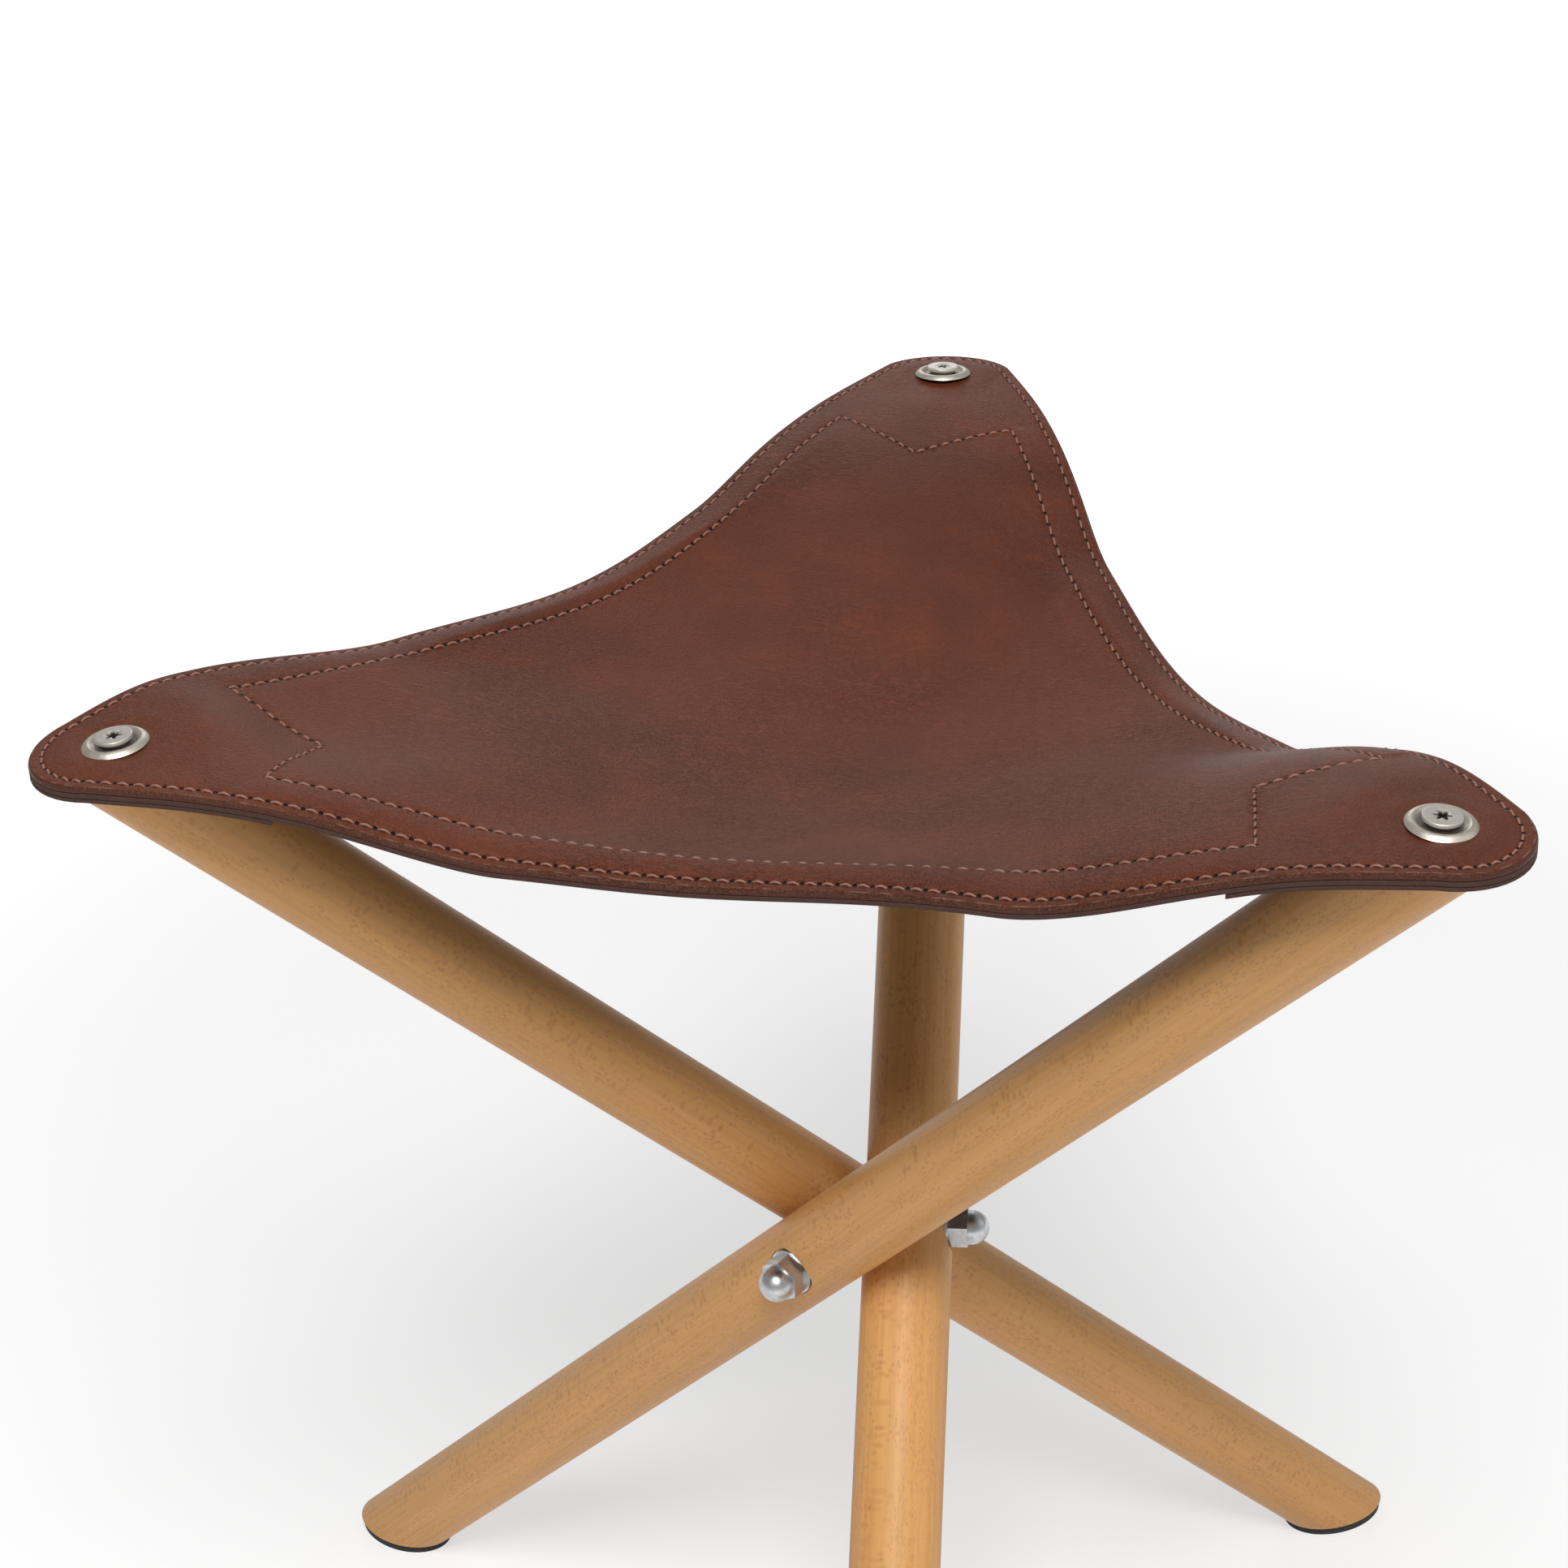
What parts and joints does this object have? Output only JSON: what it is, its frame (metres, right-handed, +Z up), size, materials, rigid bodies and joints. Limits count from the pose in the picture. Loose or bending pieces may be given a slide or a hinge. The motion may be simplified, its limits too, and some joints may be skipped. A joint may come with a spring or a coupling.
{
  "type": "folding tripod stool",
  "caption": "Folding stool with round wooden legs that turn on a three-way bolt and a hanging leather seat screwed to the tops of the legs.",
  "frame": {"origin": "on the floor, straight below the middle of the three-way bolt", "axes": "+Z up, +Y towards the back corner of the seat, +X to the sitter's right when looking along +Y"},
  "size_m": [0.433, 0.4712, 0.4434],
  "materials": {
    "beech": "oiled beech",
    "seat_leather": "satin, full grain",
    "lining_leather": "matt, flesh side",
    "stainless": "turned",
    "hub_steel": "zinc plated",
    "insert_steel": "zinc plated",
    "spacer_plastic": "matt",
    "foot_rubber": "matt"
  },
  "bodies": {
    "hub": {"three_way_bolt": "hub_steel", "spacer_washer_back": "spacer_plastic", "stud_washer_back": "hub_steel", "cap_nut_back": "hub_steel", "spacer_washer_left": "spacer_plastic", "stud_washer_left": "hub_steel", "cap_nut_left": "hub_steel", "spacer_washer_right": "spacer_plastic", "stud_washer_right": "hub_steel", "cap_nut_right": "hub_steel", "seat_leather": "seat_leather", "seat_lining": "lining_leather", "corner_patch_back": "lining_leather", "corner_patch_left": "lining_leather", "corner_patch_right": "lining_leather"},
    "back_leg": {"leg_back": "beech", "foot_pad_back": "foot_rubber", "thread_insert_back": "insert_steel", "seat_screw_back": "stainless", "cup_washer_back": "stainless"},
    "left_leg": {"leg_left": "beech", "foot_pad_left": "foot_rubber", "thread_insert_left": "insert_steel", "seat_screw_left": "stainless", "cup_washer_left": "stainless"},
    "right_leg": {"leg_right": "beech", "foot_pad_right": "foot_rubber", "thread_insert_right": "insert_steel", "seat_screw_right": "stainless", "cup_washer_right": "stainless"}
  },
  "joints": [
    {"name": "back_leg_fold", "type": "hinge", "parent": "hub", "child": "back_leg", "pos_m": [0.01991, 0.00184, 0.21624], "axis": [0.9957, 0.0922, 0], "range_deg": [0, 44.7], "deforming": ["corner_patch_back", "seat_leather", "seat_lining"]},
    {"name": "left_leg_fold", "type": "hinge", "parent": "hub", "child": "left_leg", "pos_m": [-0.01155, 0.01632, 0.21624], "axis": [-0.5777, 0.8162, 0], "range_deg": [0, 44.7], "deforming": ["corner_patch_left"]},
    {"name": "right_leg_fold", "type": "hinge", "parent": "hub", "child": "right_leg", "pos_m": [-0.00836, -0.01817, 0.21624], "axis": [-0.418, -0.9084, 0], "range_deg": [0, 44.7], "deforming": ["corner_patch_right"]}
  ],
  "couplings": [
    {"joint": "left_leg_fold", "follows": "back_leg_fold", "ratio": 1},
    {"joint": "right_leg_fold", "follows": "back_leg_fold", "ratio": 1}
  ]
}
